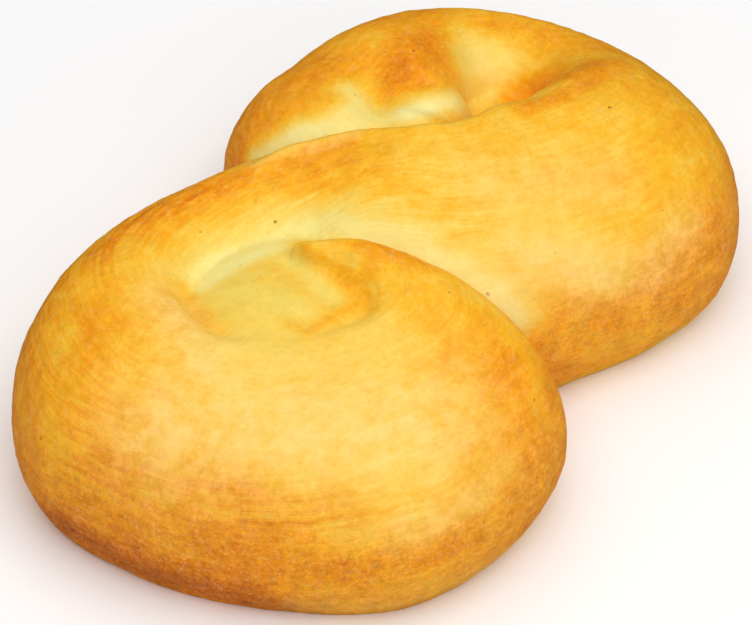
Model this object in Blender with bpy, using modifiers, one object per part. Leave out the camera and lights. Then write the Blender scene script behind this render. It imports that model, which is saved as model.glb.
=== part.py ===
"""A saffron bun: one rope of dough laid as a flattened S, each end coiled round its own dimple.

The long side runs along X, the bun stands on z = 0, and the origin is under the middle of its box.
Sizes are in millimetres here and the mesh is in metres.
"""

from math import cos, exp, pi, radians, sin

import bmesh
import bpy
import numpy as np

MM = 0.001

# The rope
COIL_SPACING = 53.6  # between the centres of the two coils
BULGE_HEIGHT = 10.5  # height of the widest line of the sides
SOLE_SHARE = 0.80  # width of the flat sole over the width of the rope
CREST_POWER = 2.25  # 2 makes an elliptic crest, more a squarer one
SINK = 2.0  # how far the rope runs below the sole before that is cut flat
NARROWEST = 1.0  # half width of the rope where it ends

# Each row is a station of the rope: degrees turned about the coil's centre, counterclockwise from
# above and starting at the middle of the bun; the rope's distance from that centre; its half width;
# the height of its crest; how far the crest leans to the centre, as a share of the half width.
FRONT_COIL = (
    (0, 28.3, 17.5, 34.0, -0.6),
    (20, 27.0, 15.5, 31.5, -0.35),
    (40, 24.5, 12.5, 30.4, -0.3),
    (60, 23.5, 11.9, 29.4, -0.2),
    (80, 23.5, 12.1, 29.6, 0.0),
    (100, 23.5, 13.1, 29.9, 0.2),
    (120, 21.4, 15.6, 29.8, 0.35),
    (142, 20.5, 15.8, 29.6, 0.5),
    (165, 17.6, 14.8, 29.5, 0.6),
    (210, 15.8, 14.8, 29.5, 0.65),
    (250, 19.3, 17.1, 30.0, 0.65),
    (290, 23.0, 17.2, 31.2, 0.45),
    (312, 21.2, 12.9, 32.5, 0.3),
    (330, 16.6, 9.0, 33.2, 0.1),
    (347, 13.6, 6.2, 33.3, -0.1),
    (364, 11.8, 4.3, 32.8, 0.0),
    (384, 11.7, 2.2, 31.5, 0.0),
)
BACK_COIL = (
    (0, 25.3, 17.5, 34.0, 0.6),
    (20, 22.0, 17.8, 33.9, 0.6),
    (40, 19.3, 17.8, 33.6, 0.6),
    (60, 17.6, 17.4, 33.2, 0.55),
    (80, 18.3, 18.2, 33.0, 0.5),
    (100, 20.0, 18.6, 32.9, 0.45),
    (120, 19.3, 18.0, 32.2, 0.35),
    (140, 18.6, 14.9, 30.6, 0.25),
    (160, 20.2, 12.0, 27.2, 0.2),
    (180, 21.8, 10.3, 24.0, -0.1),
    (200, 22.6, 9.8, 22.8, -0.4),
    (218, 21.2, 12.2, 24.0, -0.3),
    (236, 19.0, 15.9, 26.6, 0.0),
    (255, 18.2, 17.1, 28.2, 0.15),
    (270, 18.8, 17.4, 27.6, 0.2),
    (285, 19.6, 18.6, 27.8, 0.2),
    (300, 19.2, 18.7, 28.0, 0.2),
    (315, 16.2, 15.7, 28.0, 0.3),
    (345, 10.0, 9.0, 27.0, 0.2),
    (365, 8.0, 6.0, 26.0, 0.0),
)

# Dough pressed into the coils, as flat domes: side, x and y from the coil's centre, radius along x
# and along y, height. Two close the heart of a coil and one fills the foot of the back end.
HEARTS = (
    (-1, 4.0, -1.0, 21.0, 20.0, 30.2),
    (1, 5.0, 2.0, 18.0, 16.0, 19.0),
    (1, -2.0, 9.0, 9.0, 8.0, 27.4),
)
HEART_POWER = 0.3  # 1 makes an elliptic dome, less a flatter one

# Dents in the rope's top: side, x and y from the coil's centre, radius along and across, degrees
# from X to the long radius, depth.
DENTS = (
    (1, -6.5, 14.5, 8.0, 3.2, 40, 2.2),
)

# From the middle between the coils to the middle of the bun's box
BOX_SHIFT = (0.4, -0.85)

# How finely it is made
SAMPLES_A_STATION = 10
SECTION_POINTS = 48
VOXEL = 1.2
RELAX_STEPS = 6
TRIANGLES_KEPT = 0.30


def station(side, turned, distance, half_width, crest, lean):
    """x, y, the leftward direction in plan, half width, crest height and lean to the left.

    The side is -1 for the front coil at -X and 1 for the back one. The rope runs from the end in
    the front coil to the end in the back one, so left is outward in the first and inward in the other.
    """
    start = 0.0 if side < 0 else pi
    out_x, out_y = cos(start + radians(turned)), sin(start + radians(turned))
    x, y = side * COIL_SPACING / 2 + distance * out_x, distance * out_y
    return x, y, -side * out_x, -side * out_y, half_width, crest, side * lean


def stations():
    """The whole rope, end to end."""
    rows = [station(-1, *row) for row in reversed(FRONT_COIL)]
    return np.array(rows + [station(1, *row) for row in BACK_COIL[1:]])


def smooth_through(rows, samples):
    """A Catmull-Rom curve through the rows, with that many samples between each two."""
    padded = np.vstack([2 * rows[0] - rows[1], rows, 2 * rows[-1] - rows[-2]])
    made = []
    for a, b, c, d in zip(padded, padded[1:], padded[2:], padded[3:]):
        for t in np.arange(samples) / samples:
            bend = 2 * a - 5 * b + 4 * c - d
            turn = 3 * b - a - 3 * c + d
            made.append(0.5 * (2 * b + (c - a) * t + bend * t**2 + turn * t**3))
    return np.array(made + [rows[-1]])


def section(half_width, crest, lean):
    """Across and up for one cut through the rope: a domed top over bulging sides."""
    around = np.arange(SECTION_POINTS) * 2 * pi / SECTION_POINTS
    over = np.sin(around) > 0
    reach_down = BULGE_HEIGHT / np.sqrt(1 - SOLE_SHARE**2)
    power = np.where(over, 2 / CREST_POWER, 1.0)
    across = np.sign(np.cos(around)) * np.abs(np.cos(around)) ** power
    up = np.sign(np.sin(around)) * np.abs(np.sin(around)) ** power
    across = np.where(over, across + lean * (1 - np.abs(across)), across)
    up = BULGE_HEIGHT + up * np.where(over, crest - BULGE_HEIGHT, reach_down)
    return half_width * across, np.maximum(up, -SINK)


def dented(side, x, y, along, across, degrees, depth, point):
    """How deep one dent is at a point, fading like a bell."""
    dx, dy = point[0] - side * COIL_SPACING / 2 - x, point[1] - y
    c, s = cos(radians(degrees)), sin(radians(degrees))
    return depth * exp(-(((c * dx + s * dy) / along) ** 2) - ((c * dy - s * dx) / across) ** 2)


def rope():
    """The rope of dough before its turns have merged, as one closed loft."""
    rows = smooth_through(stations(), SAMPLES_A_STATION)
    mesh = bmesh.new()
    rings = []
    for x, y, left_x, left_y, half_width, crest, lean in rows:
        across, up = section(max(half_width, NARROWEST), crest, lean)
        across /= np.hypot(left_x, left_y)
        rings.append([mesh.verts.new((x + left_x * a, y + left_y * a, z)) for a, z in zip(across, up)])
    for ring, following in zip(rings, rings[1:]):
        for i in range(SECTION_POINTS):
            j = (i + 1) % SECTION_POINTS
            mesh.faces.new((ring[i], ring[j], following[j], following[i]))
    mesh.faces.new(list(reversed(rings[0])))
    mesh.faces.new(rings[-1])
    for v in mesh.verts:
        over = max(v.co.z - BULGE_HEIGHT, 0.0) / BULGE_HEIGHT
        v.co.z -= min(over, 1.0) * sum(dented(*dent, v.co) for dent in DENTS)
    bmesh.ops.recalc_face_normals(mesh, faces=mesh.faces)
    return mesh


def add_heart(mesh, side, x, y, radius_x, radius_y, height):
    """One flat dome with its foot at the same level as the rope's."""
    made = bmesh.ops.create_uvsphere(mesh, u_segments=40, v_segments=20, radius=1.0)
    for v in made["verts"]:
        v.co.x = side * COIL_SPACING / 2 + x + radius_x * v.co.x
        v.co.y = y + radius_y * v.co.y
        v.co.z = height * v.co.z**HEART_POWER if v.co.z > 0 else SINK * v.co.z


def make_object(name, mesh, collection):
    """Move the mesh to the middle of the bun's box, scale it to metres and wrap it in an object."""
    bmesh.ops.translate(mesh, vec=(-BOX_SHIFT[0], -BOX_SHIFT[1], 0), verts=mesh.verts)
    bmesh.ops.scale(mesh, vec=(MM, MM, MM), verts=mesh.verts)
    data = bpy.data.meshes.new(name)
    mesh.to_mesh(data)
    mesh.free()
    made = bpy.data.objects.new(name, data)
    collection.objects.link(made)
    return made


def sole_cutter(collection):
    """A block whose top face is the plane that the bun stands on."""
    mesh = bmesh.new()
    bmesh.ops.create_cube(mesh, size=1.0)
    for v in mesh.verts:
        v.co = (200 * v.co.x, 140 * v.co.y, 20 * (v.co.z - 0.5))
    cutter = make_object("sole_cutter", mesh, collection)
    cutter.hide_render = True
    cutter.display_type = "WIRE"
    return cutter


def crust():
    """Baked, egg-washed dough."""
    material = bpy.data.materials.new("crust")
    material.use_nodes = True
    shader = material.node_tree.nodes["Principled BSDF"]
    shader.inputs["Base Color"].default_value = (0.78, 0.42, 0.09, 1.0)
    shader.inputs["Roughness"].default_value = 0.45
    material.diffuse_color = (0.78, 0.42, 0.09, 1.0)
    return material


def new_collection(name):
    collection = bpy.data.collections.new(name)
    bpy.context.scene.collection.children.link(collection)
    return collection


def main():
    for o in list(bpy.data.objects):
        bpy.data.objects.remove(o)

    mesh = rope()
    for heart in HEARTS:
        add_heart(mesh, *heart)
    bun = make_object("bun", mesh, new_collection("saffron_bun"))
    bun.data.materials.append(crust())

    fuse = bun.modifiers.new("fuse", "REMESH")
    fuse.mode = "VOXEL"
    fuse.voxel_size = VOXEL * MM
    fuse.use_smooth_shade = True
    relax = bun.modifiers.new("relax", "SMOOTH")
    relax.factor = 0.5
    relax.iterations = RELAX_STEPS
    thin = bun.modifiers.new("thin", "DECIMATE")
    thin.ratio = TRIANGLES_KEPT
    sole = bun.modifiers.new("sole", "BOOLEAN")
    sole.operation = "DIFFERENCE"
    sole.solver = "EXACT"
    sole.object = sole_cutter(new_collection("cutters"))


main()
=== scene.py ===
"""Looks of a saffron bun: a rope of dough laid as a flattened S, baked golden and egg-washed.

Lengths are in millimetres until a mesh is made, and angles in degrees. The rope's stations, hearts
and dents are the CAD's own, so the fine crust lies where the solid is.
"""

from math import cos, pi, radians, sin

import bmesh
import bpy
import numpy as np
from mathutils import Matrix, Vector, kdtree, noise


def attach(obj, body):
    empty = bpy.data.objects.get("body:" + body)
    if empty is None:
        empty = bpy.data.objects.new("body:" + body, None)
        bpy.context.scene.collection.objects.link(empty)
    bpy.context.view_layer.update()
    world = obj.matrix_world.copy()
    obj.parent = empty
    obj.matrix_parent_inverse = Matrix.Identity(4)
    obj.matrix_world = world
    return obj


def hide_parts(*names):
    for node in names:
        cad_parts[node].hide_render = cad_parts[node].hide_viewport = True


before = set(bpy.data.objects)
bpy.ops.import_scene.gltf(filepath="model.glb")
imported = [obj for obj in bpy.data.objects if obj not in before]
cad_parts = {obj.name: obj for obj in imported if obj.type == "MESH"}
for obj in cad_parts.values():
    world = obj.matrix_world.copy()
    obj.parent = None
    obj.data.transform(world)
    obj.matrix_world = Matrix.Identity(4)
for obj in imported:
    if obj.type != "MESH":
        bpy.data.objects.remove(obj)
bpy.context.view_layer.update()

MM = 0.001

# The rope, as in the CAD
COIL_SPACING = 53.6  # between the centres of the two coils
BULGE_HEIGHT = 10.5  # height of the widest line of the sides
SOLE_SHARE = 0.80  # width of the flat sole over the width of the rope
CREST_POWER = 2.25  # 2 makes an elliptic crest, more a squarer one
SINK = 2.0  # how far the rope runs below the sole before that is cut flat
NARROWEST = 1.0  # half width of the rope where it ends
BOX_SHIFT = (0.4, -0.85)  # from the middle between the coils to the middle of the bun's box

# Degrees turned about the coil's centre, distance from it, half width, crest height, lean of the crest
FRONT_COIL = (
    (0, 28.3, 17.5, 34.0, -0.6),
    (20, 27.0, 15.5, 31.5, -0.35),
    (40, 24.5, 12.5, 30.4, -0.3),
    (60, 23.5, 11.9, 29.4, -0.2),
    (80, 23.5, 12.1, 29.6, 0.0),
    (100, 23.5, 13.1, 29.9, 0.2),
    (120, 21.4, 15.6, 29.8, 0.35),
    (142, 20.5, 15.8, 29.6, 0.5),
    (165, 17.6, 14.8, 29.5, 0.6),
    (210, 15.8, 14.8, 29.5, 0.65),
    (250, 19.3, 17.1, 30.0, 0.65),
    (290, 23.0, 17.2, 31.2, 0.45),
    (312, 21.2, 12.9, 32.5, 0.3),
    (330, 16.6, 9.0, 33.2, 0.1),
    (347, 13.6, 6.2, 33.3, -0.1),
    (364, 11.8, 4.3, 32.8, 0.0),
    (384, 11.7, 2.2, 31.5, 0.0),
)
BACK_COIL = (
    (0, 25.3, 17.5, 34.0, 0.6),
    (20, 22.0, 17.8, 33.9, 0.6),
    (40, 19.3, 17.8, 33.6, 0.6),
    (60, 17.6, 17.4, 33.2, 0.55),
    (80, 18.3, 18.2, 33.0, 0.5),
    (100, 20.0, 18.6, 32.9, 0.45),
    (120, 19.3, 18.0, 32.2, 0.35),
    (140, 18.6, 14.9, 30.6, 0.25),
    (160, 20.2, 12.0, 27.2, 0.2),
    (180, 21.8, 10.3, 24.0, -0.1),
    (200, 22.6, 9.8, 22.8, -0.4),
    (218, 21.2, 12.2, 24.0, -0.3),
    (236, 19.0, 15.9, 26.6, 0.0),
    (255, 18.2, 17.1, 28.2, 0.15),
    (270, 18.8, 17.4, 27.6, 0.2),
    (285, 19.6, 18.6, 27.8, 0.2),
    (300, 19.2, 18.7, 28.0, 0.2),
    (315, 16.2, 15.7, 28.0, 0.3),
    (345, 10.0, 9.0, 27.0, 0.2),
    (365, 8.0, 6.0, 26.0, 0.0),
)

# Dough pressed into the coils, as flat domes: side, x and y from the coil's centre, radius along x
# and along y, height
HEARTS = (
    (-1, 4.0, -1.0, 21.0, 20.0, 30.2),
    (1, 5.0, 2.0, 18.0, 16.0, 19.0),
    (1, -2.0, 9.0, 9.0, 8.0, 27.4),
)
HEART_POWER = 0.3  # 1 makes an elliptic dome, less a flatter one

# Dents in the rope's top: side, x and y from the coil's centre, radius along and across, degrees
# from X to the long radius, depth
DENTS = (
    (1, -6.5, 14.5, 8.0, 3.2, 40, 2.2),
)

# How finely the crust is made
SAMPLES_A_STATION = 20
SECTION_POINTS = 72
DOME_SEGMENTS, DOME_RINGS = 64, 32
VOXEL = 0.56
RELAX_STEPS = 6
FLOW_STEPS = 12  # smoothing of the directions along and round the rope
CUT_CLEARANCE = 1e-5  # points this near to the sole's plane lie on it

# Stretches of the rope, in degrees turned: below 0 in the front coil and above in the back one
ANYWHERE = None
END = (-400, -318)
WAIST = (-250, 60)
MIDDLE = (-60, 120)
BODY = (-60, 222)
BACK_SIDE = (60, 222)
FAR_SIDE = (60, 300)
BACK_END = (222, 400)
STRETCH_FADE = 6  # degrees to each side of where a stretch begins and ends

# The tone of the crust where no stroke lies, from 0 for pale to 1 for well baked: that of a flat
# top, how much browner a steep side is, and how much paler the foot is on the side to -Y and +X
TOP_TONE, SIDE_BROWNER, FOOT_PALER = 0.47, 0.30, 0.30
SIDE_LEAN = (0.15, 0.8)  # where sides start and are full: 0 faces up and 1 sideways
FOOT_HEIGHT = (0.3, 5.5)  # where the foot is full and ends
PALE_FOOT_WAY = (0.6, -1.0)  # x and y towards that side
PALE_FOOT_REACH = (0, 40)  # where it starts and is full, that way from the middle

# Tones of the crust: what it is, its tone, how much of that, radius in mm, the stretch of the rope
# that it keeps to, and its spots in mm from the middle between the coils. In this table and those
# below it, the spots were picked on the photo, and another script found where on the dough they
# lie, to the nearest 0.5 mm.
TONES = (
    ("top of front coil", 0.34, 0.85, 13, ANYWHERE, (
        (-40.5, 0.5, 29), (-41, -7, 28), (-40, -17, 27), (-34.5, -24.5, 26.5),
    )),
    ("top right of front coil", 0.4, 0.75, 7, ANYWHERE, (
        (-19, -12.5, 31), (-24, -17, 30.5), (-29.5, -24.5, 27.5), (-33, -28.5, 25.5),
    )),
    ("round the dimple", 0.26, 0.8, 4, ANYWHERE, (
        (-35.5, 1.5, 29.5), (-33.5, -8, 29), (-26.5, -13, 30), (-20.5, -13, 31),
    )),
    ("left of front coil", 0.67, 0.75, 10, ANYWHERE, (
        (-35.5, 21.5, 29.5), (-49, 17.5, 25.5), (-55.5, 9, 20),
    )),
    ("far left flank", 0.74, 0.75, 6, ANYWHERE, (
        (-36, 32.5, 21.5), (-48.5, 26.5, 20.5), (-54, 23, 15.5),
    )),
    ("front end, broad", 0.72, 0.9, 8, END, (
        (-14, -11.5, 32.5), (-15.5, -20.5, 31), (-17, -27.5, 28), (-19, -33.5, 23.5),
    )),
    ("right of front coil", 0.78, 0.9, 7, ANYWHERE, (
        (-17.5, -30.5, 26.5), (-22.5, -35, 22), (-28, -36, 19.5),
    )),
    ("lower right flank", 0.72, 0.8, 4.5, ANYWHERE, (
        (-12.5, -35.5, 19.5), (-18.5, -38, 16), (-23.5, -38.5, 13.5), (-31, -37, 12.5),
        (-38, -34.5, 12.5),
    )),
    ("front flank", 0.84, 0.8, 5.5, ANYWHERE, (
        (-40.5, -33, 11), (-48.5, -24, 14), (-54, -12, 13), (-57, -1.5, 13.5), (-57.5, 8, 14.5),
    )),
    # Painted shade: the lower left foot, darker than the most baked crust.
    ("lower left foot", 1.12, 0.9, 5, ANYWHERE, (
        (-56.5, 16, 5), (-57, 6, 4.5), (-55.5, -4.5, 4), (-53, -12.5, 4), (-51, -17, 3.5),
    )),
    ("front toe", 0.66, 0.7, 4, ANYWHERE, ((-51, -19.5, 8), (-45.5, -28.5, 8), (-39, -33.5, 7.5))),
    ("shoulder streaks", 0.73, 0.85, 4.2, ANYWHERE, (
        (-53, -6, 21), (-51.5, -12.5, 20), (-49.5, -18.5, 19), (-46.5, -23, 19),
    )),
    # Painted sheen: a paler band along the front shoulder, where the lights' reflection falls.
    ("shoulder band", 0.42, 0.75, 3, ANYWHERE, (
        (-47.5, -23.5, 17.5), (-45, -27, 17.5), (-40.5, -31.5, 18), (-33.5, -34.5, 18.5),
        (-26.5, -36, 19.5),
    )),
    ("waist, broad", 0.64, 0.85, 6, WAIST, (
        (-32, 23.5, 29.5), (-22.5, 22, 29), (-13.5, 18, 29), (-3.5, 11.5, 30.5), (2.5, 2, 32.5),
    )),
    ("waist top edge", 0.84, 0.85, 3.5, WAIST, (
        (-27.5, 28.5, 28), (-19, 26.5, 28.5), (-12, 22.5, 29), (-7.5, 17.5, 30), (-1.5, 13, 30.5),
    )),
    ("waist amber", 0.64, 0.5, 3, WAIST, ((-2.5, 14, 30.5), (0.5, 9, 31), (1, 3, 32.5))),
    ("waist patch", 0.42, 0.6, 5, ANYWHERE, (
        (7.5, -4.5, 33.5), (6.5, -11.5, 31.5), (5.5, -15.5, 29.5),
    )),
    ("back top", 0.43, 0.8, 10, BODY, ((6.5, -11.5, 31.5), (13, -17.5, 30.5), (17.5, -23, 29))),
    ("back top amber", 0.53, 0.6, 6, BODY, ((15, -24.5, 27.5), (19.5, -29.5, 25.5))),
    # Painted highlight: a pale patch low on the back top.
    ("back top low", 0.16, 0.8, 6.5, BODY, ((4, -20, 26.5), (6.5, -25, 23), (11, -29, 20.5))),
    ("back top high", 0.5, 0.6, 8, BODY, ((23.5, -14.5, 32.5), (30, -20.5, 31.5), (29, -31.5, 26))),
    ("back flank", 0.77, 0.8, 5.5, BODY, (
        (5.5, -27.5, 17), (11, -31, 14), (16.5, -34, 14), (24, -36.5, 15.5), (31, -36.5, 19.5),
    )),
    ("back toe", 0.6, 0.7, 5, BODY, ((6, -28, 10), (11.5, -31, 7), (17.5, -34, 6.5))),
    ("back right edge", 0.65, 0.7, 6, BODY, ((36.5, -30.5, 26), (42.5, -18.5, 29), (52, -8.5, 24))),
    ("pale wall, broad", 0.38, 0.85, 5, WAIST, (
        (-30, 18.5, 29.5), (-23.5, 17, 27.5), (-17.5, 16.5, 27.5), (-13, 13.5, 27.5),
        (-8.5, 10, 28.5), (-4.5, 1, 30.5), (-1.5, -8.5, 29.5), (0.5, -17, 26.5), (0.5, -22, 21.5),
    )),
    ("pale wall", 0.05, 1, 3.2, WAIST, (
        (-23.5, 14, 26.5), (-20, 14.5, 26), (-16, 11.5, 27), (-10, 9, 27), (-7.5, 4, 28.5),
        (-6, -2.5, 29), (-4.5, -8.5, 28), (-3, -15, 25.5), (-1.5, -20, 21.5), (-1, -22.5, 18.5),
    )),
    ("dimple far wall", -0.03, 0.9, 3, ANYWHERE, (
        (-26, 12, 27.5), (-22, 11.5, 27.5), (-18.5, 9.5, 28.5), (-15.5, 8, 28.5),
    )),
    ("dimple floor", 0.27, 0.9, 4.5, ANYWHERE, (
        (-28, 7.5, 28.5), (-25, 4, 30), (-27, -4, 29.5), (-30.5, 0.5, 29.5),
    )),
    ("dimple mound", 0.32, 0.8, 1.8, ANYWHERE, ((-22.5, 6.5, 29.5), (-22, 3, 30))),
    ("dimple front", 0.32, 0.7, 2.5, ANYWHERE, ((-31.5, 3.5, 29), (-30.5, -1.5, 29.5))),
    ("near rim", 0.66, 0.9, 1.1, ANYWHERE, (
        (-18.5, -8.5, 29.5), (-21, -8, 29.5), (-24.5, -7, 29.5), (-28, -6, 29.5),
    )),
    ("near rim, inside", 0.42, 0.7, 1.6, ANYWHERE, ((-19.5, -7.5, 29.5), (-22.5, -6.5, 29.5))),
    ("dimple patch", 0.64, 0.75, 1, ANYWHERE, ((-28, -3, 29.5), (-28, -4, 29.5))),
    ("left rim, upper", 0.56, 0.9, 1.1, ANYWHERE, ((-27.5, 15, 26.5), (-29, 12.5, 26.5))),
    ("left rim, lower", 0.56, 0.95, 1.4, ANYWHERE, ((-31.5, 9, 27.5), (-32, 7.5, 28))),
    ("left rim, end", 0.52, 0.9, 1.2, ANYWHERE, ((-33, 5, 28.5),)),
    ("edge of the front end", 0.8, 0.9, 2.2, END, (
        (-13, -6.5, 33), (-10.5, -11, 32), (-11, -17.5, 31), (-11.5, -24.5, 29), (-12, -30, 25.5),
        (-11, -33.5, 21),
    )),
    ("edge of the front end, far", 0.66, 0.8, 1.1, END, (
        (-14, -3, 33), (-13.5, -5, 33), (-12.5, -7, 33),
    )),
    ("behind the ridge", 0.4, 0.9, 1.7, ANYWHERE, (
        (-16, 0.5, 32), (-15.5, -2.5, 32), (-15.5, -5, 32),
    )),
    ("ridge of the end", 0.68, 0.95, 1.3, ANYWHERE, (
        (-16.5, 3, 31), (-17, 0.5, 31), (-17, -2, 30), (-17.5, -5, 30), (-18.5, -8, 29.5),
    )),
    ("scoop of the end", 0.2, 0.95, 1.7, ANYWHERE, (
        (-17.5, 4, 30), (-18.5, 1, 30), (-20, -2, 30), (-20.5, -4.5, 30),
    )),
    ("amber beside the dimple", 0.64, 0.7, 4.5, ANYWHERE, (
        (-15.5, -13, 32), (-17.5, -18.5, 31), (-20, -24, 29.5), (-21.5, -27, 28),
    )),
    ("lower left shoulder", 0.66, 0.7, 4, ANYWHERE, (
        (-55.5, 13.5, 20), (-57, 7.5, 17), (-57, 0.5, 15),
    )),
    ("back end, broad", 0.67, 0.95, 12, BACK_END, (
        (10, 27.5, 22.5), (17, 25, 26), (27, 21, 26.5), (35, 15.5, 27), (29.5, 9, 26.5),
    )),
    ("back end, left", 0.77, 0.8, 6, BACK_END, (
        (8, 30, 18.5), (12, 31.5, 21), (17, 28.5, 24.5), (25, 27, 25),
    )),
    ("ridge of the back end", 0.86, 0.95, 3.6, BACK_END, (
        (25, 15.5, 26.5), (29, 14.5, 27.5), (34.5, 14.5, 27),
    )),
    ("far edge of the back end", 0.82, 0.7, 4, BACK_END, (
        (38.5, 25, 25), (44, 19.5, 25), (46.5, 16, 24),
    )),
    ("pale spot of the back end", 0.45, 0.9, 1.7, BACK_END, ((32.5, 21.5, 27),)),
    ("foot of the back end, left", 0.05, 1, 1.9, BACK_END, (
        (7, 26.5, 19.5), (8, 23.5, 22.5), (9.5, 21.5, 24),
    )),
    ("foot of the back end", -0.03, 1, 2.7, BACK_END, (
        (10, 20, 25), (12, 16.5, 26.5), (16, 13.5, 26.5),
    )),
    ("foot of the back end, middle", 0.16, 0.95, 2.3, BACK_END, (
        (16, 12.5, 26.5), (18, 9.5, 27), (20, 8, 27.5),
    )),
    ("foot of the back end, right", -0.03, 1, 2.7, BACK_END, (
        (20, 8, 27.5), (23.5, 7, 26.5), (28.5, 4.5, 24.5),
    )),
    ("valley of the back end", 0.08, 0.95, 2.9, BACK_END, (
        (14.5, 15.5, 27), (18, 16, 26.5), (20, 18, 26.5),
    )),
    ("valley of the back end, high", 0.42, 0.8, 2, BACK_END, ((22.5, 17.5, 26), (24, 17.5, 26))),
    ("far flank of the back end", 0.3, 0.9, 2.6, ANYWHERE, (
        (38.5, 10.5, 23), (37, 8.5, 20.5), (29.5, 4, 23),
    )),
    ("far wall", 0.1, 0.95, 4.4, ANYWHERE, (
        (43, 11, 22.5), (41.5, 8, 20.5), (41.5, 6, 19), (44, 4.5, 20.5), (45.5, 6.5, 21.5),
    )),
    ("far wall side", 0.48, 0.8, 3.5, ANYWHERE, ((47.5, 3.5, 22.5), (50.5, 2.5, 23.5))),
    ("hole rim slope", 0.81, 0.95, 3.5, BACK_SIDE, (
        (40, 2, 18.5), (41.5, -1, 21), (35, -7, 29.5), (37, -9.5, 30.5), (41.5, -9.5, 29),
    )),
    ("hole rim top", 0.76, 0.9, 1.9, ANYWHERE, (
        (24, -8, 33), (27, -10, 33), (31, -11.5, 32.5), (35.5, -12.5, 31.5), (39, -12, 31),
    )),
    ("far rim", 0.72, 0.8, 4, FAR_SIDE, ((48, 13, 23), (52, 7, 22.5), (50.5, -4, 24.5))),
    ("fold", 0.45, 0.85, 1.2, MIDDLE, (
        (-5, 17.5, 31), (0, 15.5, 31), (4.5, 11.5, 31.5), (7, 8, 32.5), (9, 3, 33.5),
        (12.5, -1.5, 34.5),
    )),
    ("groove of the fold", 0.8, 0.85, 0.6, MIDDLE, (
        (-6.5, 19, 30), (-4.5, 17, 31), (-1, 15, 30.5), (1.5, 13.5, 31), (4, 10.5, 31.5),
        (5.5, 8.5, 32),
    )),
)

# Where the crust is streaked along the rope, where a pale pink sheen is painted on as the lights'
# reflection (painted highlight), and where an olive tint is painted, partly for under-baked dough and
# partly as painted shade: what it is, how much, radius, stretch and spots
STREAKED = (
    ("outside of the waist", 1.0, 8, ANYWHERE, ((-28, 28.5, 28), (-19.5, 26, 29), (-12, 22.5, 29.5))),
    ("left of front coil", 1.0, 7, ANYWHERE, ((-36, 33, 21.5), (-48, 20, 26), (-55, 9, 20.5))),
    ("front shoulder", 1.0, 4, ANYWHERE, (
        (-55, 0, 19), (-52, -12.5, 20), (-47, -23, 19.5), (-40, -31.5, 19),
    )),
    ("inside of the waist", 0.8, 6, WAIST, (
        (-18, 16, 28), (-8.5, 10, 28.5), (-2, -3, 31), (1, -12, 29),
    )),
)
# Painted highlight: a pale pink sheen, painted where the lights' reflection falls on shoulders and
# tops.
PAINTED_SHEEN = (
    ("front shoulder", 0.22, 2.6, ANYWHERE, (
        (-47.5, -24, 18.5), (-40.5, -31.5, 18.5), (-33.5, -34.5, 19), (-26, -36, 19.5),
    )),
    ("back shoulder", 0.38, 4.0, BODY, (
        (4, -21, 25), (7, -26, 22), (12, -30, 19.5), (18, -33, 19), (25, -34, 22),
    )),
    ("left of front coil", 0.55, 9.0, ANYWHERE, (
        (-50, 2, 26), (-45, -8, 26.5), (-38, -20, 27), (-31, -27, 27),
    )),
    ("body", 0.30, 5.0, BODY, ((8, -12, 31.5), (14, -18, 31), (20, -24, 29.5))),
    ("back top, low", 0.50, 4.5, BODY, ((3.5, -21, 25.5), (7.5, -25.5, 23), (12.5, -29.5, 20.5))),
    ("front shoulder, middle", 0.38, 3.0, ANYWHERE, (
        (-42.5, -29.5, 17.5), (-38, -33, 18), (-31.5, -35, 18.5),
    )),
    ("outside the front dimple", 0.45, 4.0, ANYWHERE, (
        (-33, 14, 29.5), (-37.5, 6.5, 29.5), (-42, -0.5, 28.5),
    )),
    ("fold", 0.35, 0.8, MIDDLE, ((-4.5, 18.5, 30), (0, 15.5, 30.5), (4, 11.5, 31.5), (7, 8.5, 32))),
)
# Painted shade, partly also under-baked dough: an olive tint in the dimple, the scoop, the far flank of
# the back end, the front foot and the pale wall.
GREENISH_AND_SHADE = (
    ("dimple floor", 0.8, 6.0, ANYWHERE, ((-28, 6, 29), (-24, 2, 28.5), (-28, -2, 29))),
    ("scoop of the end", 0.9, 1.8, ANYWHERE, (
        (-17.5, 4, 30), (-18.5, 0.5, 30), (-19.5, -2.5, 30), (-21, -5.5, 30),
    )),
    ("far flank of the back end", 0.9, 2.6, ANYWHERE, (
        (38.5, 10.5, 23), (37, 8, 20.5), (29.5, 4, 23.5),
    )),
    ("front foot", 0.7, 4.0, ANYWHERE, (
        (-51, -19.5, 2), (-45.5, -28.5, 2), (-39.5, -34, 2), (-30, -38, 2),
    )),
    ("pale wall", 0.5, 3.0, WAIST, ((-20, 15, 28), (-10, 10, 28.5), (-5, -3, 29), (-2, -14, 25.5))),
)
STREAKED_AT_LEAST = 0.30
OFF_ROPE = (0.8, 2.5)  # how far off the rope its streaks start to fade and end
GRITTY_LEAN = (0.35, 0.9)  # where the gritty sides start and are full: 0 faces up and 1 sideways

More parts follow.
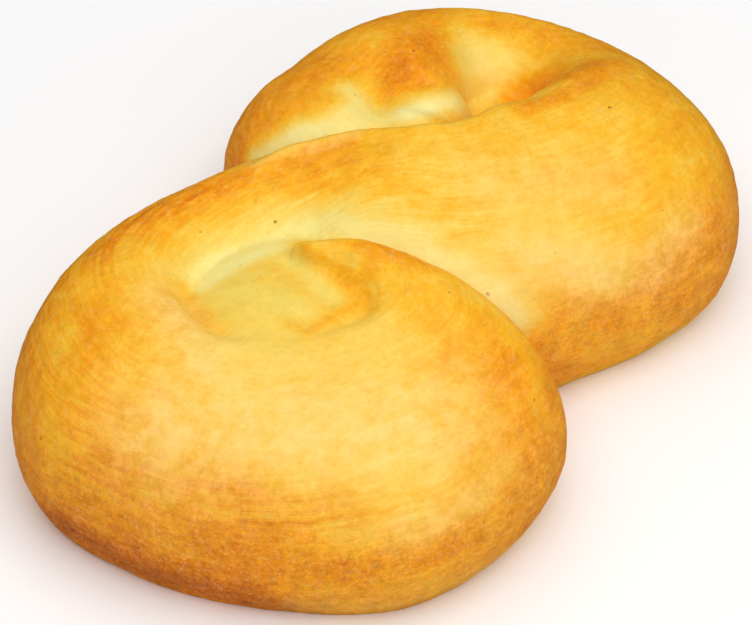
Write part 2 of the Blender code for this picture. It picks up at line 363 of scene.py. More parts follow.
# Low relief: what it is, how far it stands up, radius, stretch and spots
RELIEF = (
    ("fold of skin", 0.80, 1.5, MIDDLE, (
        (-5, 17.5, 30.5), (0.5, 16, 30.5), (5, 12, 31), (7.5, 8.5, 32), (9.5, 3.5, 33.5), (12, -1, 34),
    )),
    ("ridge of the end", 0.45, 1.0, ANYWHERE, (
        (-13, 6, 28), (-16.5, 1.5, 31.5), (-16.5, -4.5, 30.5), (-18, -8.5, 30),
    )),
    ("scoop of the end", -0.50, 1.9, ANYWHERE, ((-18, 4, 30), (-19.5, 0, 30), (-21, -4.5, 30))),
    ("near rim", 0.25, 0.8, ANYWHERE, (
        (-21, -8.5, 29.5), (-23.5, -8, 29.5), (-26, -7, 29.5), (-29.5, -5.5, 29.5),
    )),
    ("left rim", 0.25, 0.9, ANYWHERE, ((-28, 15, 26.5), (-30, 12, 27), (-32, 8, 28), (-33, 5.5, 28))),
    ("groove before the fold", -0.30, 0.6, MIDDLE, (
        (-6.5, 18.5, 30), (-4, 17.5, 30.5), (-1, 15.5, 31), (1, 13.5, 31), (4, 10.5, 31.5),
        (6, 7.5, 32.5),
    )),
)
RELIEF_WAY = (0.25, 0.35, 0.90)  # the way that it stands up

# The dough is a little uneven: waves a mm, and how deep they sink it
LUMP_WAVES, SMALL_LUMP_WAVES, SMALL_LUMP_SHARE, LUMPS_SINK = 0.10, 0.24, 0.5, 0.25
RIPPLE_WAVES, RIPPLES_SINK = (0.09, 0.42), 0.10  # along and across the rope, where it is streaked
PORE_WAVES, PORES_SINK = 0.9, 0.08
NOISE_SHIFT = (7.31, 3.17, 5.73)  # from one noise to the next


def station(side, turned, distance, half_width, crest, lean):
    """x, y, the leftward direction in plan, half width, crest height and lean to the left."""
    start = 0.0 if side < 0 else pi
    out_x, out_y = cos(start + radians(turned)), sin(start + radians(turned))
    x, y = side * COIL_SPACING / 2 + distance * out_x, distance * out_y
    return x, y, -side * out_x, -side * out_y, half_width, crest, side * lean


def stations():
    """The whole rope, end to end."""
    rows = [station(-1, *row) for row in reversed(FRONT_COIL)]
    return np.array(rows + [station(1, *row) for row in BACK_COIL[1:]])


def station_turns():
    """Degrees turned at each station: below 0 in the front coil and above in the back one."""
    return [-row[0] for row in reversed(FRONT_COIL)] + [row[0] for row in BACK_COIL[1:]]


def smooth_through(rows, samples):
    """A Catmull-Rom curve through the rows, with that many samples between each two."""
    padded = np.vstack([2 * rows[0] - rows[1], rows, 2 * rows[-1] - rows[-2]])
    made = []
    for a, b, c, d in zip(padded, padded[1:], padded[2:], padded[3:]):
        for t in np.arange(samples) / samples:
            bend = 2 * a - 5 * b + 4 * c - d
            turn = 3 * b - a - 3 * c + d
            made.append(0.5 * (2 * b + (c - a) * t + bend * t**2 + turn * t**3))
    return np.array(made + [rows[-1]])


def section(half_width, crest, lean):
    """Across and up for one cut through the rope: a domed top over bulging sides."""
    around = np.arange(SECTION_POINTS) * 2 * pi / SECTION_POINTS
    over = np.sin(around) > 0
    reach_down = BULGE_HEIGHT / np.sqrt(1 - SOLE_SHARE**2)
    power = np.where(over, 2 / CREST_POWER, 1.0)
    across = np.sign(np.cos(around)) * np.abs(np.cos(around)) ** power
    up = np.sign(np.sin(around)) * np.abs(np.sin(around)) ** power
    across = np.where(over, across + lean * (1 - np.abs(across)), across)
    up = BULGE_HEIGHT + up * np.where(over, crest - BULGE_HEIGHT, reach_down)
    return half_width * across, np.maximum(up, -SINK)


def dent_depth(dent, places):
    """How deep one dent is at each place, fading like a bell."""
    side, x, y, along, across, degrees, depth = dent
    dx, dy = places[..., 0] - side * COIL_SPACING / 2 - x, places[..., 1] - y
    c, s = cos(radians(degrees)), sin(radians(degrees))
    return depth * np.exp(-(((c * dx + s * dy) / along) ** 2) - ((c * dy - s * dx) / across) ** 2)


def loft():
    """The rope's surface as rings of points, with how far along the rope each ring lies."""
    rows = smooth_through(stations(), SAMPLES_A_STATION)
    rings = []
    for x, y, left_x, left_y, half_width, crest, lean in rows:
        across, up = section(max(half_width, NARROWEST), crest, lean)
        across /= np.hypot(left_x, left_y)
        rings.append(np.stack([x + left_x * across, y + left_y * across, up], -1))
    rings = np.array(rings)
    over = np.clip((rings[..., 2] - BULGE_HEIGHT) / BULGE_HEIGHT, 0, 1)
    for dent in DENTS:
        rings[..., 2] -= over * dent_depth(dent, rings)
    steps = np.linalg.norm(np.diff(rows[:, :2], axis=0), axis=1)
    return rings, np.concatenate([[0.0], np.cumsum(steps)])


def rope_mesh(rings):
    """The rope and the domes in its coils, not yet fused."""
    mesh = bmesh.new()
    made = [[mesh.verts.new(p) for p in ring] for ring in rings]
    for ring, following in zip(made, made[1:]):
        for i in range(SECTION_POINTS):
            j = (i + 1) % SECTION_POINTS
            mesh.faces.new((ring[i], ring[j], following[j], following[i]))
    mesh.faces.new(list(reversed(made[0])))
    mesh.faces.new(made[-1])
    bmesh.ops.recalc_face_normals(mesh, faces=mesh.faces)
    for side, x, y, radius_x, radius_y, height in HEARTS:
        dome = bmesh.ops.create_uvsphere(
            mesh, u_segments=DOME_SEGMENTS, v_segments=DOME_RINGS, radius=1.0
        )
        for v in dome["verts"]:
            v.co.x = side * COIL_SPACING / 2 + x + radius_x * v.co.x
            v.co.y = y + radius_y * v.co.y
            v.co.z = height * v.co.z**HEART_POWER if v.co.z > 0 else SINK * v.co.z
    return mesh


def fused(mesh):
    """Points in mm and quads of the fused dough."""
    bmesh.ops.scale(mesh, vec=(MM, MM, MM), verts=mesh.verts)
    data = bpy.data.meshes.new("dough")
    mesh.to_mesh(data)
    mesh.free()
    dough = bpy.data.objects.new("dough", data)
    bpy.context.scene.collection.objects.link(dough)
    remesh = dough.modifiers.new("fuse", "REMESH")
    remesh.mode = "VOXEL"
    remesh.voxel_size = VOXEL * MM
    shape = dough.evaluated_get(bpy.context.evaluated_depsgraph_get()).to_mesh()
    points = np.zeros(len(shape.vertices) * 3)
    shape.vertices.foreach_get("co", points)
    quads = np.zeros(len(shape.loops), int)
    shape.loops.foreach_get("vertex_index", quads)
    assert len(quads) == 4 * len(shape.polygons)
    bpy.data.objects.remove(dough)
    return points.reshape(-1, 3) / MM, quads.reshape(-1, 4)


class Net:
    """Neighbours of the points of a mesh, for smoothing what lies on it."""

    def __init__(self, count, faces):
        pairs = np.vstack([faces[:, [k, (k + 1) % 4]] for k in range(4)])
        pairs = np.unique(np.sort(pairs, axis=1), axis=0)
        self.a, self.b, self.count = pairs[:, 0], pairs[:, 1], count
        self.degree = np.bincount(pairs.ravel(), minlength=count).astype(float)

    def mean(self, values):
        """The mean of each point's neighbours."""
        out = np.empty_like(values)
        for k in range(values.shape[1]):
            total = np.bincount(self.a, values[self.b, k], self.count)
            total += np.bincount(self.b, values[self.a, k], self.count)
            out[:, k] = total / self.degree
        return out

    def smooth(self, values, steps, share=0.5):
        """Each step moves every row that share of the way to its neighbours' mean."""
        for _ in range(steps):
            values = values + share * (self.mean(values) - values)
        return values


def normals_of(points, quads):
    """Outward unit normals of the points."""
    p = points[quads]
    n = np.cross(p[:, 2] - p[:, 0], p[:, 3] - p[:, 1])
    out = np.zeros_like(points)
    for k in range(4):
        for axis in range(3):
            out[:, axis] += np.bincount(quads[:, k], n[:, axis], len(points))
    out /= np.maximum(np.linalg.norm(out, axis=1), 1e-12)[:, None]
    faces_up = out[points[:, 2].argmax(), 2] > 0
    return out if faces_up else -out


def rope_coordinates(points, rings, lengths):
    """How far along the rope, round from its crest and off its surface each point lies, in mm."""
    count = rings.shape[1]
    bottom = 3 * count // 4
    order = (bottom + np.arange(count)) % count
    rings = rings[:, order]
    crest = (count // 4 - bottom) % count
    girth = np.linalg.norm(np.diff(rings, axis=1), axis=2)
    round_mm = np.concatenate([np.zeros((len(rings), 1)), np.cumsum(girth, axis=1)], axis=1)
    round_mm -= round_mm[:, crest : crest + 1]
    flat = rings.reshape(-1, 3)
    tree = kdtree.KDTree(len(flat))
    for i, p in enumerate(flat):
        tree.insert(p, i)
    tree.balance()
    found = [tree.find(p)[1:] for p in points]
    index = np.array([f[0] for f in found])
    off = np.array([f[1] for f in found])
    i, j = index // count, index % count
    before, after = np.maximum(i - 1, 0), np.minimum(i + 1, len(rings) - 1)
    under, over = np.maximum(j - 1, 0), np.minimum(j + 1, count - 1)
    away = points - rings[i, j]

    def share_of(step):
        """How much of the step from one neighbour to the other a point is away, at most half."""
        return np.clip((away * step).sum(1) / np.maximum((step * step).sum(1), 1e-9), -0.5, 0.5)

    forward = share_of(rings[after, j] - rings[before, j])
    upward = share_of(rings[i, over] - rings[i, under])
    along = lengths[i] + forward * (lengths[after] - lengths[before])
    around = round_mm[i, j] + upward * (round_mm[i, over] - round_mm[i, under])
    return along, around, off


def line_distance(points, line):
    """Distance in mm from each point to a broken line or to a single spot."""
    line = np.array(line, float)
    best = np.linalg.norm(points - line[0], axis=1)
    for a, b in zip(line, line[1:]):
        t = np.clip(((points - a) @ (b - a)) / ((b - a) @ (b - a)), 0, 1)
        best = np.minimum(best, np.linalg.norm(points - a - t[:, None] * (b - a), axis=1))
    return best


def field_noise(vectors, seed):
    """Smooth noise, about -1 to 1, at each row."""
    shift = Vector([seed * s for s in NOISE_SHIFT])
    return np.array([noise.noise(Vector(v) + shift) for v in vectors])


def step_between(values, low, high):
    """0 below low and 1 above high, smoothly."""
    t = np.clip((values - low) / (high - low), 0, 1)
    return t * t * (3 - 2 * t)


class Dough:
    """The points of the fused dough in mm, its quads, and where each point lies on the rope."""

    def __init__(self):
        rings, lengths = loft()
        points, self.quads = fused(rope_mesh(rings))
        net = Net(len(points), self.quads)
        self.points = net.smooth(points, RELAX_STEPS)
        self.normals = normals_of(self.points, self.quads)
        along, around, self.off = rope_coordinates(self.points, rings, lengths)
        self.turn = np.interp(along, lengths[::SAMPLES_A_STATION], station_turns())
        self.flow = net.smooth(np.column_stack([along, around]), FLOW_STEPS)

    def within(self, stretch):
        """1 on that stretch of the rope, fading over a few degrees at both ends."""
        if stretch is ANYWHERE:
            return 1.0
        low, high = stretch
        begun = step_between(self.turn, low - STRETCH_FADE, low + STRETCH_FADE)
        ended = step_between(self.turn, high - STRETCH_FADE, high + STRETCH_FADE)
        return begun * (1 - ended)

    def stroke(self, amount, radius, stretch, spots):
        """That much on the spots, fading like a bell with the distance from them."""
        bell = np.exp(-((line_distance(self.points, spots) / radius) ** 2))
        return amount * bell * self.within(stretch)

    def strongest(self, table):
        """The strongest of the table's strokes at each point."""
        made = np.zeros(len(self.points))
        for _, *stroke in table:
            made = np.maximum(made, self.stroke(*stroke))
        return made

    def tone(self):
        """How baked the crust is, with a few strokes of painted shade and sheen: browner on the sides,
        and then as the strokes say in turn.
        """
        height = self.points[:, 2]
        pale_side = step_between(self.points[:, :2] @ PALE_FOOT_WAY, *PALE_FOOT_REACH)
        tone = TOP_TONE + SIDE_BROWNER * step_between(1 - self.normals[:, 2], *SIDE_LEAN)
        tone -= FOOT_PALER * (1 - step_between(height, *FOOT_HEIGHT)) * pale_side
        for _, level, share, radius, stretch, spots in TONES:
            tone += (level - tone) * self.stroke(share, radius, stretch, spots)
        return tone

    def fields(self):
        """What the crust's material reads at each point."""
        on_rope = 1 - step_between(self.off, *OFF_ROPE)
        streaked = STREAKED_AT_LEAST + (1 - STREAKED_AT_LEAST) * self.strongest(STREAKED)
        return {
            "bake": self.tone(),
            "streaked": on_rope * streaked,
            # One field holds painted sheen, and another an olive tint that is partly painted shade.
            "painted_sheen": self.strongest(PAINTED_SHEEN),
            "greenish_shade": self.strongest(GREENISH_AND_SHADE),
            "grit": step_between(1 - self.normals[:, 2], *GRITTY_LEAN),
        }

    def uneven(self, streaked):
        """The points, sunk a little here and there and raised or pressed in by the relief."""
        lumps = field_noise(self.points * LUMP_WAVES, 1)
        lumps += SMALL_LUMP_SHARE * field_noise(self.points * SMALL_LUMP_WAVES, 2)
        ripples = field_noise(np.pad(self.flow * RIPPLE_WAVES, ((0, 0), (0, 1))), 3)
        pores = field_noise(self.points * PORE_WAVES, 4)
        sunk = LUMPS_SINK * np.abs(lumps) + RIPPLES_SINK * (1 + ripples) * streaked
        sunk += PORES_SINK * (1 + pores)
        moved = self.points - self.normals * sunk[:, None]
        for _, *stroke in RELIEF:
            moved = moved + self.stroke(*stroke)[:, None] * np.array(RELIEF_WAY)
        return moved


def keep_on(data, name, values):
    """Store a number or a vector for each point of a mesh."""
    kind, part = ("FLOAT", "value") if values.ndim == 1 else ("FLOAT_VECTOR", "vector")
    layer = data.attributes.new(name, kind, "POINT")
    layer.data.foreach_set(part, np.asarray(values, np.float32).ravel())


def cut_sole(mesh):
    """Cut the dough flat where it stands, and close the cut."""
    whole = mesh.verts[:] + mesh.edges[:] + mesh.faces[:]
    cut = bmesh.ops.bisect_plane(
        mesh, geom=whole, dist=CUT_CLEARANCE, plane_co=(0, 0, 0), plane_no=(0, 0, 1), clear_inner=True
    )
    rim = [e for e in cut["geom_cut"] if isinstance(e, bmesh.types.BMEdge)]
    bmesh.ops.holes_fill(mesh, edges=rim, sides=0)


def bun_object(name):
    """The bun's crust in metres. The fields go on before the cut, so that it carries them along."""
    dough = Dough()
    fields = dough.fields()
    points = dough.uneven(fields["streaked"])
    data = bpy.data.meshes.new(name)
    data.from_pydata(points.tolist(), [], dough.quads.tolist())
    for field, values in fields.items():
        keep_on(data, field, values)
    keep_on(data, "flow", np.pad(dough.flow, ((0, 0), (0, 1))))
    mesh = bmesh.new()
    mesh.from_mesh(data)
    cut_sole(mesh)
    bmesh.ops.translate(mesh, vec=(-BOX_SHIFT[0], -BOX_SHIFT[1], 0), verts=mesh.verts)
    bmesh.ops.scale(mesh, vec=(MM, MM, MM), verts=mesh.verts)
    bmesh.ops.recalc_face_normals(mesh, faces=mesh.faces)
    mesh.to_mesh(data)
    mesh.free()
    for polygon in data.polygons:
        polygon.use_smooth = True
    made = bpy.data.objects.new(name, data)
    bpy.context.scene.collection.objects.link(made)
    return made


def linear(colour):
    """An sRGB colour of 0 to 255 as linear RGBA."""
    c = np.array(colour) / 255
    c = np.where(c <= 0.04045, c / 12.92, ((c + 0.055) / 1.055) ** 2.4)
    return (*[float(v) for v in c], 1.0)


class Nodes:
    """Short ways to add shader nodes to one material."""

    def __init__(self, material):
        material.use_nodes = True
        self.tree = material.node_tree
        self.shader = self.tree.nodes["Principled BSDF"]

    def add(self, kind, **settings):
        """A new node with those settings."""
        node = self.tree.nodes.new(kind)
        for name, value in settings.items():
            setattr(node, name, value)
        return node

    def feed(self, socket, value):
        """Link the socket to another one, or set its value."""
        if isinstance(value, bpy.types.NodeSocket):
            self.tree.links.new(value, socket)
        else:
            socket.default_value = value

    def shade(self, values):
        """Feed the shader's sockets, by name."""
        for name, value in values.items():
            self.feed(self.shader.inputs[name], value)

    def attribute(self, name, output="Fac"):
        """What the mesh holds under that name."""
        return self.add("ShaderNodeAttribute", attribute_name=name).outputs[output]

    def math(self, operation, a, b, c=0.0):
        """One sum with numbers."""
        node = self.add("ShaderNodeMath", operation=operation)
        for socket, value in zip(node.inputs, (a, b, c)):
            self.feed(socket, value)
        return node.outputs[0]

    def more(self, base, extra, field):
        """The base, and as much as the extra on top of it where the field is 1."""
        return self.math("MULTIPLY_ADD", field, extra, base)

    def vary(self, total, value, amount):
        """The total, changed by a noise that is 0.5 on average."""
        return self.math("MULTIPLY_ADD", self.math("SUBTRACT", value, 0.5), amount, total)

    def vector(self, operation, *values):
        """One sum with vectors."""
        node = self.add("ShaderNodeVectorMath", operation=operation)
        for socket, value in zip(node.inputs, values):
            self.feed(socket, value)
        return node.outputs[0]

    def times(self, vector, factor):
        """The vector, as many times as long."""
        node = self.add("ShaderNodeVectorMath", operation="SCALE")
        self.feed(node.inputs[0], vector)
        self.feed(node.inputs["Scale"], factor)
        return node.outputs[0]

    def stirred(self, vector, place, waves, amount):
        """The vector, moved by as much as the amount, in waves of that many a mm."""
        node = self.add("ShaderNodeTexNoise")
        self.feed(node.inputs["Vector"], place)
        node.inputs["Scale"].default_value = waves
        return self.vector("MULTIPLY_ADD", node.outputs["Color"], amount, vector)

    def noise(self, vector, waves, finer, roughness, distortion=0.0):
        """Smooth noise of 0 to 1."""
        node = self.add("ShaderNodeTexNoise")
        self.feed(node.inputs["Vector"], vector)
        settings = {"Scale": waves, "Detail": finer, "Roughness": roughness, "Distortion": distortion}
        for name, value in settings.items():
            node.inputs[name].default_value = value
        return node.outputs["Fac"]

    def cells(self, vector, cells):
        """How far the nearest of scattered points is, and three numbers of 0 to 1 of its own."""
        node = self.add("ShaderNodeTexVoronoi")
        self.feed(node.inputs["Vector"], vector)
        node.inputs["Scale"].default_value = cells
        own = self.add("ShaderNodeSeparateColor")
        self.feed(own.inputs[0], node.outputs["Color"])
        return node.outputs["Distance"], *own.outputs

    def ramp(self, value, stops):
        """The colour that stops of position and colour give a value."""
        node = self.add("ShaderNodeValToRGB")
        elements = node.color_ramp.elements
        while len(elements) < len(stops):
            elements.new(0.5)
        for element, (position, colour) in zip(elements, stops):
            element.position, element.color = position, colour
        self.feed(node.inputs[0], value)
        return node.outputs["Color"]

    def span(self, value, low, high, to_low=0.0, to_high=1.0):
        """From one number to another, smoothly, as the value goes from low to high."""
        node = self.add("ShaderNodeMapRange", interpolation_type="SMOOTHSTEP")
        for name, v in (("From Min", low), ("From Max", high), ("To Min", to_low), ("To Max", to_high)):
            node.inputs[name].default_value = v
        self.feed(node.inputs["Value"], value)
        return node.outputs["Result"]

    def mix(self, share, a, b):
        """Colour a, with that share of colour b."""
        node = self.add("ShaderNodeMix", data_type="RGBA")
        self.feed(node.inputs["Factor"], share)
        for name, value in (("A", a), ("B", b)):
            self.feed([s for s in node.inputs if s.name == name and s.type == "RGBA"][0], value)
        return [s for s in node.outputs if s.type == "RGBA"][0]

    def bump(self, height, distance, strength, under=None):
        """Relief that shades the surface, on top of another where there is one."""
        node = self.add("ShaderNodeBump")
        node.inputs["Distance"].default_value = distance
        self.feed(node.inputs["Strength"], strength)
        self.feed(node.inputs["Height"], height)
        if under is not None:
            self.feed(node.inputs["Normal"], under)
        return node.outputs["Normal"]


# Crust colours from palest to darkest, with how baked each one is. The last, past 1, is painted shade,
# for the lower left foot.
CRUST = (
    (0.00, (245, 233, 150)),
    (0.20, (245, 212, 102)),
    (0.40, (246, 195, 68)),
    (0.50, (247, 184, 42)),
    (0.60, (245, 172, 29)),
    (0.70, (243, 159, 20)),
    (0.80, (236, 145, 12)),
    (0.90, (225, 128, 6)),
    (1.00, (208, 108, 6)),
    (1.20, (174, 84, 10)),
)
DARKEST_TONE = 1.2
# The pale pink below is painted sheen.
PAINTED_SHEEN_COLOUR = (255, 214, 140)
# The olive colour below is partly painted shade.
GREEN_SHADE = (222, 208, 96)
SPECK = (142, 78, 20)
# The colour below is painted glints.
PAINTED_GLINT = (250, 210, 145)
# The colour below is painted sheen in fine patches.
SHEEN_HAZE = (255, 222, 150)
REFLECTED = (255, 225, 150)

# Noises of the crust: waves a mm, how many finer ones lie in them, how rough, how distorted
BLOTCHES = (0.14, 3, 0.55, 0.3)
MOTTLE = (0.42, 4, 0.65)
GRAIN = (1.5, 3, 0.7)
STREAK_PATCHES = (0.12, 2, 0.5)
PAINTED_SHEEN_PATCHES = (0.35, 3, 0.6)
CLOUDS = (0.35, 5, 0.95)
SHEEN_HAZE_PATCHES = (0.8, 4, 0.85)

# Streaks: waves a mm along and across the rope, and their noise on that
STREAK_WAVES, STREAKS = (0.075, 0.62, 1), (1.0, 3, 0.55)
FINE_STREAK_WAVES, FINE_STREAKS = (0.20, 1.25, 1), (1.0, 4, 0.65)
WANDER_WAVES, WANDER = 0.16, (4, 1.6, 0)  # how far streaks stray along and across the rope

# Where a noise goes from low to high, what it gives there grows from one number to the other
STREAK_PATCHES_GIVE = (0.38, 0.62, 0.25, 1.0)
PAINTED_SHEEN_PATCHES_GIVE = (0.30, 0.65, 0.35, 1.0)
SHEEN_HAZE_PATCHES_GIVE = (0.48, 0.68)

# How much each noise changes the tone. In a pair, the second number comes on top of the first where
# the crust is streaked or gritty.
BLOTCHES_CHANGE, MOTTLE_CHANGE, STREAKS_CHANGE = 0.36, 0.36, 0.80
FINE_STREAKS_CHANGE = (0.18, 0.50)
GRAIN_CHANGE = (0.26, 0.24)
CALM = (0.05, 0.45, 0.40, 1.0)  # a tone, a browner one, and the share of the changes at each

GREEN_SHADE_SHARE = 0.35

# Granules with painted glints
GRANULE_CELLS = 1.9  # a mm
GRANULE_EDGE = (0.12, 0.34)  # from where to where they fade, as shares of a cell
GRANULES_LEFT_OUT = 0.55  # share of the cells without one
GRANULES_SHOW = (0.06, 0.30)  # how much, and how much more on the gritty sides

# Specks
SPECK_CELLS = 0.24  # a mm
SPECKS_LEFT_OUT = 0.35  # share of the cells without one
SPECK_RADIUS = (0.03, 0.085)  # smallest and largest, as shares of a cell
SPECK_EDGE = (0.35, 1.1)  # from where to where they fade, as shares of the radius
SPECK_DEPTH = (0.25, 0.85)  # weakest and strongest
RAGGED_WAVES, RAGGED = 2.2, (0.5, 0.5, 0.5)  # waves a mm, and the most mm that they move an edge

# Clouds, and painted sheen in fine patches
CRUSTY = (0.40, 0.72)  # the tones from which the crust starts and is fully brown
CLOUDS_SHOW = (0.38, 0.44)  # how much, and how much more on brown crust
CLOUDS_ON_GRIT = 0.28  # how much more again on the gritty sides
SHEEN_HAZE_SHOWS = (0.03, 0.13)  # how much, and how much more on brown crust

# Shine of the egg wash, and light under the skin
ROUGHNESS = (0.36, 0.22)  # of the top, and how much more on the gritty sides
SPECULAR = 0.35
UNDER_SKIN, UNDER_SKIN_REACH = 0.15, 0.002  # share, and metres
UNDER_SKIN_COLOURS = (1.0, 0.6, 0.25)  # shares of that reach for red, green and blue

# Bumps: height in metres and strength
MOTTLE_BUMP = (0.00025, 0.5)
STREAK_BUMP = (0.0003, 0.6)
GRAIN_BUMP = (0.00022, 0.8)
GRAIN_BUMP_SHARE = (0.2, 0.8)  # of the top, and how much more on the gritty sides


def painted_glints(n, colour, place, grit):
    """Painted glints: light dots on the fine grains of the crust, most of all on the sides."""
    distance, pick, _, _ = n.cells(place, GRANULE_CELLS)
    bright = n.span(distance, *GRANULE_EDGE, 1.0, 0.0)
    picked = n.math("GREATER_THAN", pick, GRANULES_LEFT_OUT)
    painted_glint = n.math("MULTIPLY", bright, picked)
    return n.mix(n.math("MULTIPLY", painted_glint, n.more(*GRANULES_SHOW, grit)), colour, linear(PAINTED_GLINT))


def specks(n, colour, place):
    """Sparse brown specks with ragged edges."""
    ragged = n.stirred(place, place, RAGGED_WAVES, RAGGED)
    distance, pick, wide, strong = n.cells(ragged, SPECK_CELLS)
    few = n.math("GREATER_THAN", pick, SPECKS_LEFT_OUT)
    radius = n.span(wide, 0.0, 1.0, *SPECK_RADIUS)
    inside = n.span(n.math("DIVIDE", distance, radius), *SPECK_EDGE, 1.0, 0.0)
    depth = n.span(strong, 0.0, 1.0, *SPECK_DEPTH)
    return n.mix(n.math("MULTIPLY", n.math("MULTIPLY", few, inside), depth), colour, linear(SPECK))


def clouds(n, colour, place, grit, calm):
    """Fine patches of painted sheen, and fine light and dark, both stronger on the browner crust."""
    crusty = n.span(n.attribute("bake"), *CRUSTY)
    sheen_haze = n.span(n.noise(place, *SHEEN_HAZE_PATCHES), *SHEEN_HAZE_PATCHES_GIVE)
    colour = n.mix(n.math("MULTIPLY", sheen_haze, n.more(*SHEEN_HAZE_SHOWS, crusty)), colour, linear(SHEEN_HAZE))
    strength = n.more(n.more(*CLOUDS_SHOW, crusty), CLOUDS_ON_GRIT, grit)
    brightness = n.vary(1.0, n.noise(place, *CLOUDS), n.math("MULTIPLY", strength, calm))
    return n.times(colour, brightness)


def crust_material():
    """The baked crust, by what the mesh holds at each point."""
    material = bpy.data.materials.new("crust")
    n = Nodes(material)
    metres = n.add("ShaderNodeTexCoord").outputs["Object"]
    place = n.vector("MULTIPLY", metres, (1 / MM, 1 / MM, 1 / MM))
    bake, grit, streaked = n.attribute("bake"), n.attribute("grit"), n.attribute("streaked")
    flow = n.stirred(n.attribute("flow", "Vector"), place, WANDER_WAVES, WANDER)
    streaks = n.noise(n.vector("MULTIPLY", flow, STREAK_WAVES), *STREAKS)
    fine_streaks = n.noise(n.vector("MULTIPLY", flow, FINE_STREAK_WAVES), *FINE_STREAKS)
    mottle, grain = n.noise(place, *MOTTLE), n.noise(place, *GRAIN)

    patches = n.span(n.noise(place, *STREAK_PATCHES), *STREAK_PATCHES_GIVE)
    in_patches = n.math("MULTIPLY", streaked, patches)
    change = n.vary(0.0, n.noise(place, *BLOTCHES), BLOTCHES_CHANGE)
    change = n.vary(change, mottle, MOTTLE_CHANGE)
    change = n.vary(change, streaks, n.math("MULTIPLY", in_patches, STREAKS_CHANGE))
    change = n.vary(change, fine_streaks, n.more(*FINE_STREAKS_CHANGE, streaked))
    change = n.vary(change, grain, n.more(*GRAIN_CHANGE, grit))
    calm = n.span(bake, *CALM)
    tone = n.math("DIVIDE", n.more(bake, change, calm), DARKEST_TONE)
    colour = n.ramp(tone, [(at / DARKEST_TONE, linear(c)) for at, c in CRUST])

    # Painted shade, partly under-baked dough: an olive tint where the mesh says.
    green_shade = n.math("MULTIPLY", n.attribute("greenish_shade"), GREEN_SHADE_SHARE)
    colour = n.mix(green_shade, colour, linear(GREEN_SHADE))
    # Painted sheen: a pale pink mixed in where the mesh says, in patches.
    sheen_patches = n.span(n.noise(place, *PAINTED_SHEEN_PATCHES), *PAINTED_SHEEN_PATCHES_GIVE)
    colour = n.mix(n.math("MULTIPLY", n.attribute("painted_sheen"), sheen_patches), colour, linear(PAINTED_SHEEN_COLOUR))
    # Painted glints on the sides.
    colour = painted_glints(n, colour, place, grit)
    colour = specks(n, colour, place)
    # Painted sheen in fine patches, then fine light and dark.
    colour = clouds(n, colour, place, grit, calm)

    bumped = n.bump(mottle, *MOTTLE_BUMP)
    distance, strength = STREAK_BUMP
    bumped = n.bump(fine_streaks, distance, n.math("MULTIPLY", streaked, strength), bumped)
    bumped = n.bump(n.math("MULTIPLY", grain, n.more(*GRAIN_BUMP_SHARE, grit)), *GRAIN_BUMP, bumped)
    n.shade({
        "Base Color": colour,
        "Roughness": n.more(*ROUGHNESS, grit),
        "Specular IOR Level": SPECULAR,
        "Specular Tint": linear(REFLECTED),
        "Subsurface Weight": UNDER_SKIN,
        "Subsurface Scale": UNDER_SKIN_REACH,
        "Subsurface Radius": UNDER_SKIN_COLOURS,
        "Normal": bumped,
    })
    return material


bun = bun_object("bun_crust")
bun.data.materials.append(crust_material())

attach(bun, "root")
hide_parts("bun")

# The pale floor
FLOOR_REACH = 3.0  # metres to each side
FLOOR_WHITE, FLOOR_ROUGHNESS = 0.93, 0.9


def floor_object():
    """A plain, dull floor under the bun."""
    r = FLOOR_REACH
    data = bpy.data.meshes.new("floor")
    data.from_pydata([(-r, -r, 0), (r, -r, 0), (r, r, 0), (-r, r, 0)], [], [(0, 1, 2, 3)])
    material = bpy.data.materials.new("floor")
    Nodes(material).shade({
        "Base Color": (FLOOR_WHITE, FLOOR_WHITE, FLOOR_WHITE, 1),
        "Roughness": FLOOR_ROUGHNESS,
        "Specular IOR Level": 0.0,
    })
    data.materials.append(material)
    made = bpy.data.objects.new("floor", data)
    bpy.context.scene.collection.objects.link(made)
    return made


floor = floor_object()
floor.visible_glossy = False

# The camera, at the photo's angle: degrees round and up, metres away, what it aims at, and its lens
AZIMUTH, ELEVATION, DISTANCE = -57.6, 43.0, 0.511
TARGET = Vector((-0.00025, 0.00075, 0.010))
SENSOR_WIDTH, LENS = 36, 171.5
SHIFT_X, SHIFT_Y = -0.0118, -0.0150
NEAREST_SEEN = 0.01


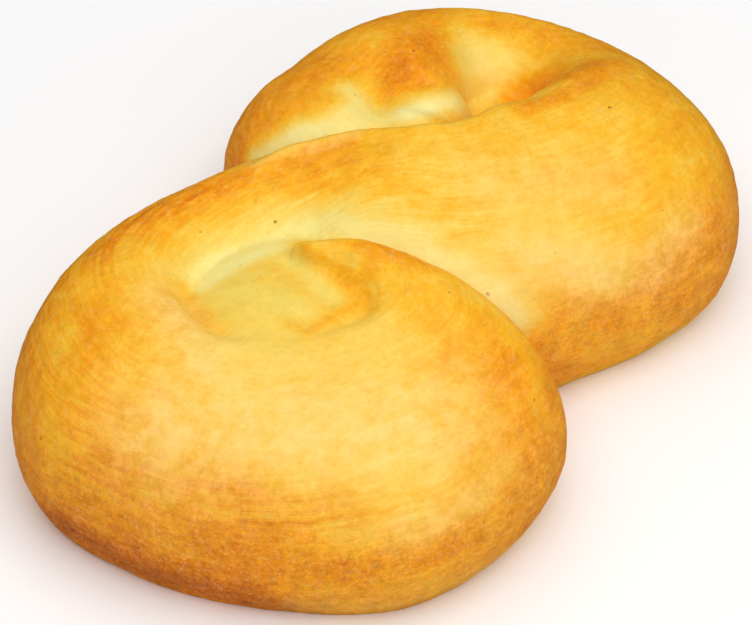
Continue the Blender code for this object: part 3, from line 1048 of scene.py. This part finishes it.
def direction(azimuth, elevation):
    """From the bun to a place that far round and up."""
    a, e = radians(azimuth), radians(elevation)
    return Vector((sin(a) * cos(e), -cos(a) * cos(e), sin(e)))


def look_from(thing, towards, distance, target):
    """Put a camera or a lamp that far from the target and aim it there."""
    thing.location = target + towards * distance
    thing.rotation_mode = "QUATERNION"
    thing.rotation_quaternion = (-towards).to_track_quat("-Z", "Y")
    bpy.context.scene.collection.objects.link(thing)


camera = bpy.data.objects.new("camera", bpy.data.cameras.new("camera"))
look_from(camera, direction(AZIMUTH, ELEVATION), DISTANCE, TARGET)
camera.data.sensor_width = SENSOR_WIDTH
camera.data.lens = LENS
camera.data.shift_x, camera.data.shift_y = SHIFT_X, SHIFT_Y
camera.data.clip_start = NEAREST_SEEN
bpy.context.scene.camera = camera

# Soft studio light. Each box: degrees round and up, width and height in metres, power in watts,
# whether it lights colours and whether its shine shows.
WORLD_STRENGTH = 0.27
BOX_DISTANCE = 0.8
SOFT_BOXES = {
    "key": (-35, 62, 1.0, 1.0, 4.0, True, False),
    "top": (0, 88, 1.0, 1.0, 3.5, True, True),
    "fill": (140, 40, 1.0, 1.0, 0.6, True, False),
    "low": (-50, 12, 1.0, 0.5, 0.6, True, False),
    "sheen": (-25, 18, 0.9, 0.45, 2.4, False, True),
}


def light_the_world():
    """Even light from all round, without a reflection of its own."""
    world = bpy.data.worlds.new("studio")
    bpy.context.scene.world = world
    world.use_nodes = True
    background = world.node_tree.nodes["Background"]
    background.inputs["Color"].default_value = (1, 1, 1, 1)
    background.inputs["Strength"].default_value = WORLD_STRENGTH
    world.cycles_visibility.glossy = False


def soft_box(name, azimuth, elevation, width, height, power, lights, shines):
    """A soft box that faces the bun."""
    lamp = bpy.data.lights.new(name, "AREA")
    lamp.shape = "RECTANGLE"
    lamp.size, lamp.size_y = width, height
    lamp.energy = power
    made = bpy.data.objects.new(name, lamp)
    look_from(made, direction(azimuth, elevation), BOX_DISTANCE, Vector())
    made.visible_diffuse = lights
    made.visible_glossy = shines


light_the_world()
for box, settings in SOFT_BOXES.items():
    soft_box(box, *settings)

bpy.context.scene.view_settings.view_transform = "Standard"
